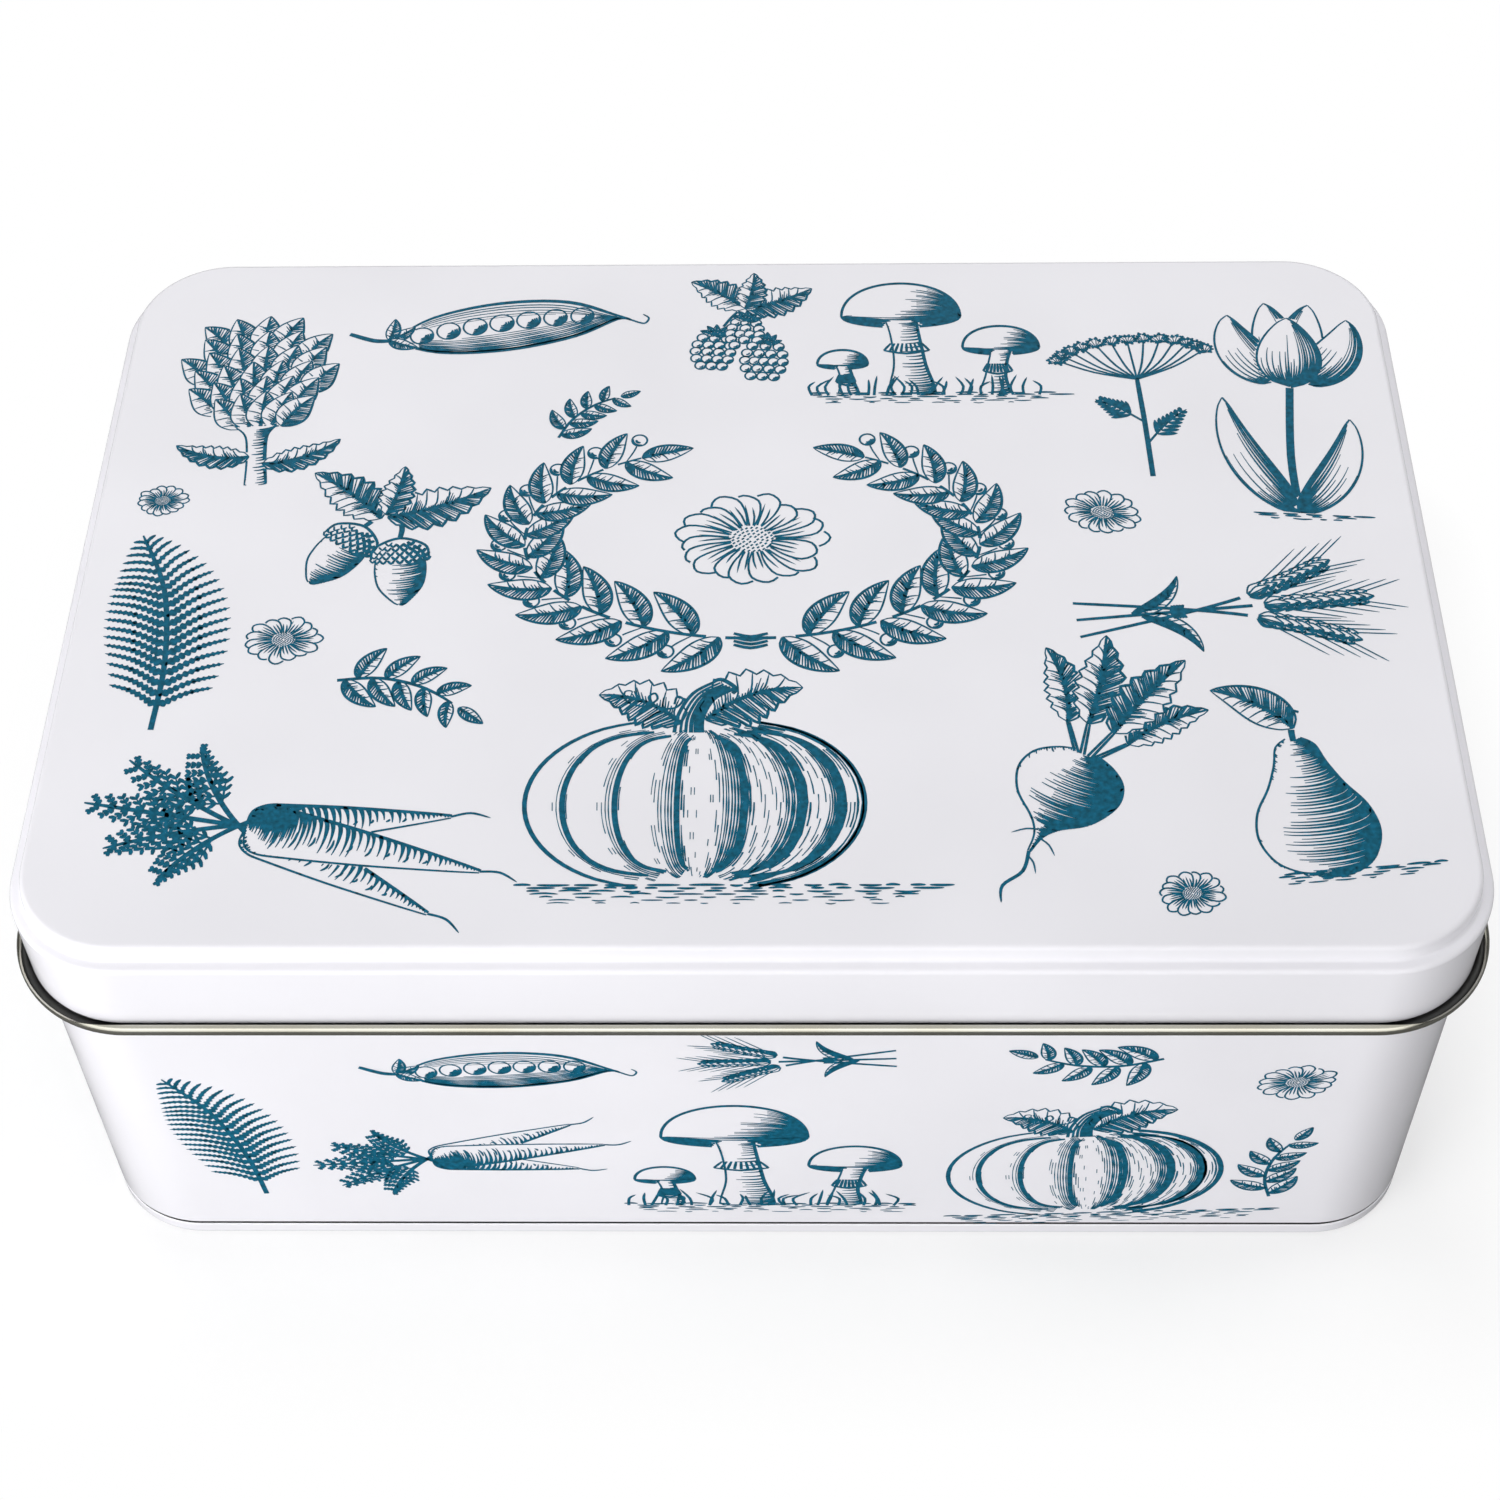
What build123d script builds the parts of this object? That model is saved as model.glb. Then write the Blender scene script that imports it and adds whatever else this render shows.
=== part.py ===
from build123d import *
from math import radians, sqrt, tan
import os

# A rectangular storage tin of lacquered tinplate, standing on its base with the lid on.
# X runs along the long side, -Y is the printed front and the origin is the centre of the foot.
# Three pressed pieces make it up: a body wall, a base seamed round its foot, and a lid that lifts off.
# Every section is drawn as the middle line of the sheet, across the edge of the tin: its first
# coordinate runs outward from the outside face of the body wall, its second is the height.

# Body wall, outside sizes
tin_length = 194.6
tin_width = 132.9
corner_radius = 14.5
rim_height = 71.5

# Tinplate
sheet = 0.3

# Rolls at the cut edges: the body's rim rolls inward and the lid's edge rolls outward
rim_diameter = 2.0
curl_diameter = 1.95
roll_turn = 270.0

# Seam round the foot, where the base's edge folds over the wall's hook
seam_height = 2.6
seam_gap = 0.05
hook_gap = 0.15
hook_radius = 0.3
foot_radius = 0.5

# Base panel, raised clear of the table, with a pressed step that stiffens it
panel_inset = 8.0
panel_rise = 0.8
panel_fillet = 0.6

# Lock seam that closes the wall at the middle of the back
lock_width = 4.5
lock_layers = 2
lock_radius = 0.2
lock_groove_width = 0.25
lock_groove_depth = 0.12

# Lid
lid_clearance = 0.75
seat_clearance = 0.3
lid_depth = 16.0
lid_step_height = 2.5
lid_step_slope = 11.0
lid_step_inset = 1.6
lid_step_fillet = 0.85
lid_edge_radius = 0.85
lid_shoulder_radius = 0.35

# Middle lines of the seam's five layers, from the outside in
layer_pitch = sheet + seam_gap
seam_face = -sheet / 2
wall_hook = seam_face - layer_pitch
base_hook = seam_face - 2 * layer_pitch
seam_wall = seam_face - 3 * layer_pitch
chuck_wall = seam_face - 4 * layer_pitch
wall_line = -sheet / 2

# Heights of the seam
foot_line = sheet / 2
seam_top_line = seam_height - sheet / 2
wall_hook_foot = foot_radius + sheet
wall_hook_tip = seam_height - sheet - hook_gap
base_hook_tip = wall_hook_foot + sheet / 2 + hook_gap
ledge_line = seam_height + seam_gap + sheet / 2
panel_line = seam_top_line

# The rim's roll
rim_roll = rim_diameter / 2 - sheet / 2
rim_centre = wall_line - rim_roll
rim_centre_height = rim_height - rim_diameter / 2

# The lid's fillet under its step rests over the rim, seat_clearance away
skirt_line = lid_clearance + sheet / 2
step_line = skirt_line - lid_step_inset
step_turn = radians(90 - lid_step_slope)
fillet_centre = step_line + lid_step_fillet * tan(step_turn / 2)
seat_reach = lid_step_fillet + sheet / 2 + rim_diameter / 2 + seat_clearance
seat_rise = sqrt(seat_reach**2 - (fillet_centre - rim_centre) ** 2)
lid_ledge_line = rim_centre_height + seat_rise - lid_step_fillet
lid_top_line = lid_ledge_line + lid_step_height
lid_height = lid_top_line + sheet / 2
edge_line = step_line - lid_step_height * tan(radians(lid_step_slope))

# The lid's curl
curl_roll = curl_diameter / 2 - sheet / 2
curl_centre_height = lid_height - lid_depth + curl_diameter / 2

# The swept edges reach in this far, and the flat sheets in the middle overlap them
edge_reach = 12.0
flat_overlap = 2.0
flat_inset = edge_reach - flat_overlap
flat_length = tin_length - 2 * flat_inset
flat_width = tin_width - 2 * flat_inset
flat_radius = corner_radius - flat_inset

# The outside outline of the wall is the path that every edge section follows
with BuildSketch() as outline:
    RectangleRounded(tin_length, tin_width, corner_radius)
path = outline.wire()
start = path @ 0
heading = path % 0
edge_plane = Plane(origin=start, x_dir=heading.cross(Vector(0, 0, 1)), z_dir=-heading)

# Body wall: one strip with a hook at the foot, a straight wall and a rolled rim.
# Folds hidden inside the seam are pressed flat, so their radius is 0.
with BuildPart() as body_wall:
    with BuildSketch(edge_plane):
        with BuildLine():
            wall_profile = FilletPolyline(
                (wall_hook, wall_hook_tip),
                (wall_hook, wall_hook_foot),
                (seam_wall, wall_hook_foot),
                (seam_wall, ledge_line),
                (wall_line, ledge_line),
                (wall_line, rim_centre_height),
                radius=(0, 0, 0, hook_radius),
            )
            JernArc(wall_profile @ 1, (0, 1), rim_roll, roll_turn)
        trace(line_width=sheet)
    sweep(path=path)

    # The lock seam lies inside the back, between the seam's ledge and the rolled rim
    lock_foot = ledge_line + hook_radius + sheet
    lock_top = rim_height - rim_diameter - sheet
    back_inside = tin_width / 2 - sheet
    lock_depth = lock_layers * sheet
    with BuildSketch(Plane.XY.offset(lock_foot)):
        with Locations((0, back_inside + sheet / 2)):
            Rectangle(lock_width, lock_depth + sheet / 2, align=(Align.CENTER, Align.MAX))
        fillet(vertices().group_by(Axis.Y)[0], radius=lock_radius)
    extrude(amount=lock_top - lock_foot)

    # Outside, the lock seam shows as one fine line
    with BuildSketch(Plane.XY.offset(lock_foot)):
        with Locations((lock_width / 2, tin_width / 2)):
            Rectangle(lock_groove_width, 2 * lock_groove_depth)
    extrude(amount=lock_top - lock_foot, mode=Mode.SUBTRACT)

# Base: a panel, its chuck wall, the foot, and an outside face whose edge hooks behind the wall's
with BuildPart() as base:
    with BuildSketch(edge_plane):
        with BuildLine():
            FilletPolyline(
                (-edge_reach, panel_line + panel_rise),
                (-panel_inset - panel_rise, panel_line + panel_rise),
                (-panel_inset, panel_line),
                (chuck_wall, panel_line),
                (chuck_wall, foot_line),
                (seam_face, foot_line),
                (seam_face, seam_top_line),
                (base_hook, seam_top_line),
                (base_hook, base_hook_tip),
                radius=(
                    panel_fillet,
                    panel_fillet,
                    foot_radius,
                    foot_radius,
                    foot_radius,
                    hook_radius,
                    0,
                ),
            )
        trace(line_width=sheet)
    sweep(path=path)
    with BuildSketch(Plane.XY.offset(panel_line + panel_rise - sheet / 2)):
        RectangleRounded(flat_length, flat_width, flat_radius)
    extrude(amount=sheet)

# Lid: a raised panel, a step down to a narrow shoulder, a straight skirt and a rolled edge
with BuildPart() as lid:
    with BuildSketch(edge_plane):
        with BuildLine():
            lid_profile = FilletPolyline(
                (-edge_reach, lid_top_line),
                (edge_line, lid_top_line),
                (step_line, lid_ledge_line),
                (skirt_line, lid_ledge_line),
                (skirt_line, curl_centre_height),
                radius=(lid_edge_radius, lid_step_fillet, lid_shoulder_radius),
            )
            JernArc(lid_profile @ 1, (0, -1), curl_roll, roll_turn)
        trace(line_width=sheet)
    sweep(path=path)
    with BuildSketch(Plane.XY.offset(lid_top_line - sheet / 2)):
        RectangleRounded(flat_length, flat_width, flat_radius)
    extrude(amount=sheet)

os.makedirs("parts", exist_ok=True)
for name, piece in (("body_wall", body_wall), ("base", base), ("lid", lid)):
    piece.part.label = name
    export_step(piece.part, f"parts/{name}.step")

curl_reach = skirt_line + curl_roll + curl_diameter / 2
print("outside length", round(tin_length + 2 * curl_reach, 2))
print("outside width", round(tin_width + 2 * curl_reach, 2))
print("height", round(lid_height, 2), "lid's edge at", round(lid_height - lid_depth, 2))
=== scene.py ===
import random
from itertools import groupby
from math import atan2, copysign, cos, dist, hypot, pi, radians, sin, sqrt, tan, tau

import bpy
import bmesh
from mathutils import Matrix, Vector


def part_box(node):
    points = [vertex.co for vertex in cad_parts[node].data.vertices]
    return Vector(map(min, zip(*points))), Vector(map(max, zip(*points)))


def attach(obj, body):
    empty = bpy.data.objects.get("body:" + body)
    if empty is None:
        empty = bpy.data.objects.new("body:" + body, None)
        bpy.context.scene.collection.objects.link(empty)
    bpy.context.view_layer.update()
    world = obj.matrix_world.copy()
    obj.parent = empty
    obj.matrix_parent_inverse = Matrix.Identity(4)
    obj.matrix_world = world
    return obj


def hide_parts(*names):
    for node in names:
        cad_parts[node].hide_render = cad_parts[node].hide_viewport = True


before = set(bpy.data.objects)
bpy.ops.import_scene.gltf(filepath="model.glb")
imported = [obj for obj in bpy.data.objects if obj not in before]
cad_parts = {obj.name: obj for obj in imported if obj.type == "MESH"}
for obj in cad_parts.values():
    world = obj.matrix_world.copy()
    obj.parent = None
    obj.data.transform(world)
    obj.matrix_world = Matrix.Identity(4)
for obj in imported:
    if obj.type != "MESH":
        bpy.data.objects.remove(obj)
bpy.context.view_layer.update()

# Lengths in this script are in millimetres until MM turns them to Blender's metres
MM = 0.001

# The tin's outline: every section is drawn across it, with 0 at the wall's outside face
half_x, half_y, rim_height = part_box("body_wall")[1] / MM
lid_low, lid_high = (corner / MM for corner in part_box("lid"))
corner_radius = 14.5
corner_x, corner_y = half_x - corner_radius, half_y - corner_radius
edge_reach = 12.0

# Tinplate and its rolls, as in the solids
sheet = 0.3
curl_diameter = 1.95
rim_diameter = 2.0
lid_clearance = 0.75

# The print lies this far above the lacquer
ink_stand = 0.04

# Steps that an arc is drawn in
corner_steps, bend_steps, roll_steps = 24, 8, 28

quarter = pi / 2


# Section lines and the sheets swept from them


def deselect():
    bpy.ops.object.select_all(action="DESELECT")


def take(piece):
    """Selects a piece, beside what is selected, and makes it active."""
    piece.select_set(True)
    bpy.context.view_layer.objects.active = piece


def edit(piece):
    deselect()
    take(piece)
    bpy.ops.object.mode_set(mode="EDIT")


def leave():
    bpy.ops.object.mode_set(mode="OBJECT")


def select_all():
    bpy.ops.mesh.select_all(action="SELECT")


def pick(piece, kind, wanted):
    """In edit mode, selects only the faces, edges or verts that wanted() says."""
    bpy.ops.mesh.select_all(action="DESELECT")
    mesh = bmesh.from_edit_mesh(piece.data)
    for part in getattr(mesh, kind):
        if wanted(part):
            part.select_set(True)
    bmesh.update_edit_mesh(piece.data)


def modify(piece, kind, **settings):
    """Puts a modifier on the active piece and applies it."""
    modifier = piece.modifiers.new(kind, kind)
    for name, value in settings.items():
        setattr(modifier, name, value)
    bpy.ops.object.modifier_apply(modifier=modifier.name)


def pen_down(name, x, z):
    """Starts a section line at the middle of the tin's right side, with one point."""
    deselect()
    bpy.ops.mesh.primitive_plane_add(size=MM, location=((half_x + x) * MM, 0, z * MM))
    piece = bpy.context.object
    piece.name = piece.data.name = name
    bpy.ops.object.transform_apply()
    bpy.ops.object.mode_set(mode="EDIT")
    bpy.ops.mesh.merge(type="CENTER")
    return piece


def extrude(x, y, z):
    bpy.ops.mesh.extrude_region_move(TRANSFORM_OT_translate={"value": (x * MM, y * MM, z * MM)})


def straight(start, end):
    """Draws a straight run. A short step at each end keeps the shading of a fold at the fold."""
    support = 0.15
    way = end - start
    steps = [way] if way.length > 0.001 else []
    if way.length > 3 * support:
        short = way.normalized() * support
        steps = [short, way - 2 * short, short]
    for step in steps:
        extrude(step.x, 0, step.y)


def bend(start, way, radius, turn, steps):
    """Carries the line round a fold, clockwise where turn is above 0, unlike Blender's spin."""
    centre = start + Vector((way.y, -way.x)) * copysign(1, turn) * radius
    at = ((half_x + centre.x) * MM, 0, centre.y * MM)
    bpy.ops.mesh.spin(steps=steps, angle=-turn, center=at, axis=(0, 1, 0))


def fold_line(name, corners, roll=None):
    """Draws a section: straight runs between corners (x, z, radius), then a roll (radius, turn)."""
    here = Vector(corners[0][:2])
    piece = pen_down(name, here.x, here.y)
    for (x, z, radius), following in zip(corners[1:], corners[2:]):
        corner = Vector((x, z))
        before = (corner - here).normalized()
        after = (Vector(following[:2]) - corner).normalized()
        turn = atan2(before.y * after.x - before.x * after.y, before.dot(after))
        reach = radius * tan(abs(turn) / 2)
        straight(here, corner - before * reach)
        if radius > 0:
            bend(corner - before * reach, before, radius, turn, bend_steps)
        here = corner + after * reach
    end = Vector(corners[-1][:2])
    straight(here, end)
    if roll:
        bend(end, (end - here).normalized(), *roll, roll_steps)
    return piece


def sweep_round(piece, close_middle):
    """Carries the section round a quarter of the tin, mirrors it twice and closes its middle."""
    near = 1.0
    select_all()
    for step in (corner_y - near, near):
        extrude(0, step, 0)
    at = (corner_x * MM, corner_y * MM, 0)
    bpy.ops.mesh.spin(steps=corner_steps, angle=-quarter, center=at, axis=(0, 0, 1))
    for step in (near, corner_x - near):
        extrude(-step, 0, 0)
    leave()
    touching = 0.001 * MM
    for axes in ((True, False, False), (False, True, False)):
        modify(piece, "MIRROR", use_axis=axes, use_clip=True, merge_threshold=touching)
    edit(piece)
    select_all()
    bpy.ops.mesh.remove_doubles(threshold=touching)
    if close_middle:
        deep = edge_reach - 1
        pick(piece, "edges", lambda e: e.is_boundary and inward(e.verts[0].co / MM) > deep)
        bpy.ops.mesh.edge_face_add()
    select_all()
    bpy.ops.mesh.normals_make_consistent(inside=False)
    leave()


def face_out(piece, x, z):
    """Turns the sheet so that its face at (x, z) on the right side looks outward."""
    place = Vector((half_x + x, 0, z)) * MM
    probe = min(piece.data.polygons, key=lambda f: (f.center - place).length)
    if probe.normal.x < 0:
        edit(piece)
        select_all()
        bpy.ops.mesh.flip_normals()
        leave()


def inward(at):
    """How far inside the tin's outline a place in millimetres lies."""
    across, along = abs(at.x) - corner_x, abs(at.y) - corner_y
    reach = hypot(across, along) if across > 0 and along > 0 else max(across, along)
    return corner_radius - reach


def bare_or_painted_shade(piece, wanted, metal=3):
    """Gives the faces that wanted() says, by their middle in millimetres, another material: bare
    tinplate where the lacquer stops, or the dark steel of painted shade.
    """
    for face in piece.data.polygons:
        if wanted(face.center / MM):
            face.material_index = metal


def open_curl(piece, centre_out, centre_z, radius, least):
    """Opens the curl a little at the corners, where the sheet had to stretch round the bend."""
    on_curl, past_curl, eased_in = 0.01, radians(300), radians(30)
    for vertex in piece.data.vertices:
        x, y, z = vertex.co / MM
        across, along = abs(x) - corner_x, abs(y) - corner_y
        if across <= 0 or along <= 0:
            continue
        reach = hypot(across, along)
        out, rise = reach - corner_radius - centre_out, z - centre_z
        turned = (atan2(rise, out) - pi) % tau
        if abs(hypot(out, rise) - radius) > on_curl or turned > past_curl:
            continue
        into = min(1, min(atan2(along, across), atan2(across, along)) / eased_in)
        ease = into**2 * (3 - 2 * into)
        turned *= 1 - (1 - least) * ease
        stretch = (corner_radius + centre_out - radius * cos(turned)) / reach
        vertex.co.x = copysign(corner_x + across * stretch, x) * MM
        vertex.co.y = copysign(corner_y + along * stretch, y) * MM
        vertex.co.z = (centre_z - radius * sin(turned)) * MM


def thicken(piece):
    """Gives the sheet its thickness inward; its inside and cut edges take the next material."""
    slots = {"material_offset": 1, "material_offset_rim": 1}
    modify(piece, "SOLIDIFY", thickness=sheet * MM, offset=-1, use_even_offset=True, **slots)


def finish_sheet(piece):
    deselect()
    take(piece)
    bpy.ops.object.shade_smooth_by_angle(angle=radians(32))


# Colours and materials


def colour(code):
    """A colour written in sRGB, such as "#ECEBF0", as the linear values that a socket takes."""
    values = [int(code[i : i + 2], 16) / 255 for i in (1, 3, 5)]
    return [v / 12.92 if v <= 0.04045 else ((v + 0.055) / 1.055) ** 2.4 for v in values] + [1.0]


def feed(new, inputs):
    """Gives a node its inputs: a socket is linked, and any other value is set."""
    for name, value in inputs.items():
        if isinstance(value, bpy.types.NodeSocket):
            new.id_data.links.new(value, new.inputs[name])
        else:
            new.inputs[name].default_value = value


def node(tree, kind, inputs=None, **settings):
    """Adds one node."""
    new = tree.nodes.new("ShaderNode" + kind)
    for name, value in settings.items():
        setattr(new, name, value)
    feed(new, inputs or {})
    return new


def new_material(name):
    """A material with its Principled shader, and a noise() that is scaled in real millimetres."""
    material = bpy.data.materials.new(name)
    material.use_nodes = True
    tree = material.node_tree
    place = node(tree, "TexCoord").outputs["Object"]

    def noise(size, stretch=(1, 1, 1), detail=2.0):
        """Noise whose lumps are about size millimetres across, longer along a stretched axis."""
        scale = [1 / (size * MM * s) for s in stretch]
        mapped = node(tree, "Mapping", {"Vector": place, "Scale": scale}).outputs["Vector"]
        inputs = {"Vector": mapped, "Scale": 1.0, "Detail": detail}
        return node(tree, "TexNoise", inputs).outputs["Fac"]

    return material, tree, tree.nodes["Principled BSDF"], noise


def ramp(value, low, high, start=0.3, end=0.7):
    """A value between low and high as the noise goes from start to end."""
    inputs = {"Value": value, "From Min": start, "From Max": end, "To Min": low, "To Max": high}
    return node(value.id_data, "MapRange", inputs).outputs["Result"]


def tone(value, first, second):
    """A colour between two tones, as the noise goes."""
    inputs = {"Factor": ramp(value, 0, 1), "A": colour(first), "B": colour(second)}
    return node(value.id_data, "Mix", inputs, data_type="RGBA").outputs["Result"]


def relief(height, strength):
    """Marks in the surface 4 micrometres deep."""
    inputs = {"Height": height, "Strength": strength, "Distance": 0.004 * MM}
    return node(height.id_data, "Bump", inputs).outputs["Normal"]


# An even gloss over a pale, faintly cool white
white, tree, shader, noise = new_material("white enamel, rolled on and stoved")
feed(shader, {
    # The coat is a little thicker in some places, which the eye gets as a faint cloud
    "Base Color": tone(noise(38), "#EFEEF3", "#EAE9EE"),
    # Gloss changes a little with the roller's pressure
    "Roughness": ramp(noise(9), 0.12, 0.2),
    # Orange peel: the real waves are under a millimetre; they are drawn at 1.6 mm to show at all
    "Normal": relief(noise(1.6), 0.25),
    "IOR": 1.5,
})

# Electro-tinned and sized with clear gold varnish: bright, with a rolled grain
tin, tree, shader, noise = new_material("tinplate, cold-rolled under gold varnish")
# The grain runs along the strip: round the walls, and lengthways on a flat sheet.
# Rolling marks are about 0.05 mm apart; they are drawn at 0.35 mm, as fine as shows
facing = node(tree, "SeparateXYZ", {"Vector": node(tree, "NewGeometry").outputs["Normal"]})
level = node(tree, "Math", {0: facing.outputs["Z"]}, operation="ABSOLUTE").outputs["Value"]
marks = {
    "Factor": ramp(level, 0, 1, 0.985, 0.998),
    "A": noise(0.35, (60, 60, 1), 3),
    "B": noise(0.35, (80, 1, 80), 3),
}
grain = node(tree, "Mix", marks, data_type="FLOAT").outputs["Result"]
feed(shader, {
    # The varnish pools to a warmer tone in places
    "Base Color": tone(noise(14), "#D0CFC5", "#C4C1B2"),
    "Roughness": ramp(grain, 0.16, 0.26),
    "Normal": relief(grain, 0.3),
    "Metallic": 1.0,
})

# Grey, dull steel as painted shade: the dark of the open fold of the foot seam and of the hollow of
# the lid's roll is drawn in its colour
painted_shade_steel, tree, shader, noise = new_material("dark grey metal, painted shade in folds")
feed(shader, {
    "Base Color": tone(noise(6, (3, 3, 1)), "#4B4C4D", "#5A5A58"),
    "Roughness": ramp(noise(2), 0.42, 0.52),
    "Metallic": 1.0,
})

# Under the same clear gloss: solid where strokes are heavy, faintly grainy
ink, tree, shader, noise = new_material("teal litho ink, offset printed")
feed(shader, {
    "Base Color": tone(noise(0.8), "#04495C", "#0E6785"),
    "Roughness": ramp(noise(9), 0.34, 0.42),
    # Ink takes up the varnish, so it shines less than the bare enamel round it
    "Specular IOR Level": 0.12,
})


def swept_sheet(name, corners, roll, close_middle, probe):
    """A section swept round the tin, turned outside out, and still without thickness."""
    piece = fold_line(name, corners, roll)
    sweep_round(piece, close_middle)
    face_out(piece, *probe)
    # thicken() gives a sheet's inside the slot after its outside's, and so tin behind every outside
    for material in (white, tin, painted_shade_steel, tin):
        piece.data.materials.append(material)
    return piece


# The slot of the dark steel: painted shade for what only shows in a fold
painted_shade_slot = 2

# Lid: raised panel, step, narrow ledge, skirt and the edge rolled outward.
# Heights are those of the sheet's outside face in the solids
lid_top = lid_high.z - ink_stand
skirt_out = lid_clearance + sheet
curl_height = lid_low.z + curl_diameter / 2
curl_inner = (lid_high.x - half_x - skirt_out - sheet) / 2 - 0.002
curl_turn = radians(266)
lid_ledge = 71.871
# The ledge falls a little towards the skirt, as pressed sheet does when it springs back
ledge_fall = 0.32
step_top, step_foot = -0.87, -0.62
edge_round, step_round, shoulder_round = 0.75, 0.6, 0.75
lid = swept_sheet(
    "lid_sheet",
    [
        (-edge_reach, lid_top, 0), (step_top, lid_top, edge_round),
        (step_foot, lid_ledge, step_round), (skirt_out, lid_ledge - ledge_fall, shoulder_round),
        (skirt_out, curl_height + 0.1, 0), (skirt_out, curl_height, 0),
    ],
    (curl_inner, -curl_turn), True, (skirt_out, 65),
)
# Painted shade: the hollow of the roll and the skirt's foot just above it take the dark steel
bare_or_painted_shade(lid, lambda at: at.z < curl_height + 0.2, painted_shade_slot)
corner_curl = 0.8
open_curl(lid, skirt_out + curl_inner, curl_height, curl_inner, corner_curl)
thicken(lid)
finish_sheet(lid)

# Body wall: hooked under at the foot, straight, its rim rolled inward
seam_top = 2.6
seam_gap = 0.5
seam_lip = 0.35
hook_in, hook_foot = 1.05, 0.95
lacquer_stop = 68.6
rim_turn = radians(320)
wall = swept_sheet(
    "wall_sheet",
    [
        (-hook_in, hook_foot, 0), (-hook_in, seam_top + seam_gap, 0),
        (0, seam_top + seam_gap, seam_lip),
        (0, lacquer_stop, 0), (0, rim_height - rim_diameter / 2, 0),
    ],
    (rim_diameter / 2, -rim_turn), False, (0, 30),
)
bare_or_painted_shade(wall, lambda at: at.z > lacquer_stop)
# Painted shade: the open fold of the foot seam takes the dark steel
bare_or_painted_shade(wall, lambda at: at.z < seam_top + seam_gap + 0.08, painted_shade_slot)

# The lock seam shows outside as one fine pressed line at the back.
# Cuts beside the groove and at its ends keep its shading to itself
lock_width, groove_width, groove_depth = 4.5, 0.25, 0.12
lock_foot, lock_top = 3.9, 69.0
groove_x = lock_width / 2
back_face = (half_y - 0.01) * MM
beside = [groove_x + side * groove_width / 2 for side in (-7.0, -1.0, -0.4, 0.4, 1.0, 7.0)]
ends = [end + step for end in (lock_foot, lock_top) for step in (-0.15, 0, 0.15)]
edit(wall)
for cuts, axis in ((beside, (1, 0, 0)), (ends, (0, 0, 1))):
    for cut in cuts:
        pick(wall, "faces", lambda f: f.calc_center_median().y > back_face)
        bpy.ops.mesh.bisect(plane_co=[cut * MM * a for a in axis], plane_no=axis)
pick(
    wall,
    "verts",
    lambda v: v.co.y > back_face
    and abs(v.co.x / MM - groove_x) < groove_width / 4
    and lock_foot - 0.01 < v.co.z / MM < lock_top + 0.01,
)
bpy.ops.transform.translate(value=(0, -groove_depth * MM, 0))
leave()
thicken(wall)

# Inside, the lock seam is a flat strip of folded layers, two sheets proud of the wall
lock_proud, lock_sunk, lock_round = 2 * sheet, 0.1, 0.2
lock_y = half_y - sheet + (lock_sunk - lock_proud) / 2
deselect()
bpy.ops.mesh.primitive_cube_add(
    size=MM,
    location=(0, lock_y * MM, (lock_foot + lock_top) / 2 * MM),
    scale=(lock_width, lock_proud + lock_sunk, lock_top - lock_foot),
)
lock = bpy.context.object
bpy.ops.object.transform_apply()
modify(lock, "BEVEL", width=lock_round * MM, segments=4)
lock.data.materials.append(tin)
take(wall)
bpy.ops.object.join()
finish_sheet(wall)

# Base: raised middle, pressed step, chuck wall, foot and the seam's outside face
panel_under = seam_top - sheet
panel_rise = 0.8
chuck_in, hook_line, foot_round = 1.7, 1.0, 0.65
base = swept_sheet(
    "base_sheet",
    [
        (-edge_reach, panel_under + panel_rise, 0),
        (-8.8, panel_under + panel_rise, 0.45), (-8.0, panel_under, 0.75),
        (-chuck_in, panel_under, 0.35), (-chuck_in, 0, foot_round),
        (0, 0, foot_round), (0, seam_top, seam_lip),
        (-hook_line, seam_top, 0), (-hook_line, 1.2, 0),
    ],
    None, True, (0, 1.3),
)
behind_hook = hook_line + 0.1
# Painted shade: the faces inside the seam's fold, on its top and on the hook, take the dark steel
bare_or_painted_shade(base, lambda at: at.z > seam_top - 0.06 and inward(at) < behind_hook, painted_shade_slot)
bare_or_painted_shade(base, lambda at: at.z > 1 and hook_line - 0.1 < inward(at) < behind_hook, painted_shade_slot)
thicken(base)
finish_sheet(base)

ridden = ((lid, "lid", "lid"), (wall, "tin", "body_wall"), (base, "tin", "base"))
for piece, body, stands_for in ridden:
    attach(piece, body)
    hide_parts(stands_for)


# Print: an engraver's strokes, each a list of (x, y, width) in millimetres

vary = random.Random(7).uniform
# How heavily the plate is inked: every stroke is this much wider than drawn
press = 1.32


def curve(a, b, c, d, t):
    """One coordinate, a share t of the way along a soft curve from b to c."""
    turn, swell = 2 * a - 5 * b + 4 * c - d, 3 * b - a - 3 * c + d
    return b + ((c - a) * t + turn * t**2 + swell * t**3) / 2


def smooth(points, steps=5):
    """More points along a soft curve through the given ones."""
    ends = [points[0], *points, points[-1]]
    out = []
    for four in zip(ends, ends[1:], ends[2:], ends[3:]):
        for j in range(steps):
            out.append(tuple(curve(*line, j / steps) for line in zip(*four)))
    return [*out, tuple(points[-1])]


def clamp(value):
    return max(0.0, min(1.0, value))


def between(a, b, t):
    """The point a share t of the way from a to b."""
    return tuple(p + (q - p) * t for p, q in zip(a, b))


def along(points, t):
    """The point a share t of the way along a list of points."""
    place = clamp(t) * (len(points) - 1)
    i = min(int(place), len(points) - 2)
    return between(points[i], points[i + 1], place - i)


def away(x, y, angle, reach, squash=1):
    """The point that lies reach away from (x, y) at an angle, as seen on a squashed circle."""
    return x + cos(angle) * reach, y + sin(angle) * reach * squash


def heading(a, b):
    """The angle at which b lies from a."""
    return atan2(b[1] - a[1], b[0] - a[0])


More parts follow.
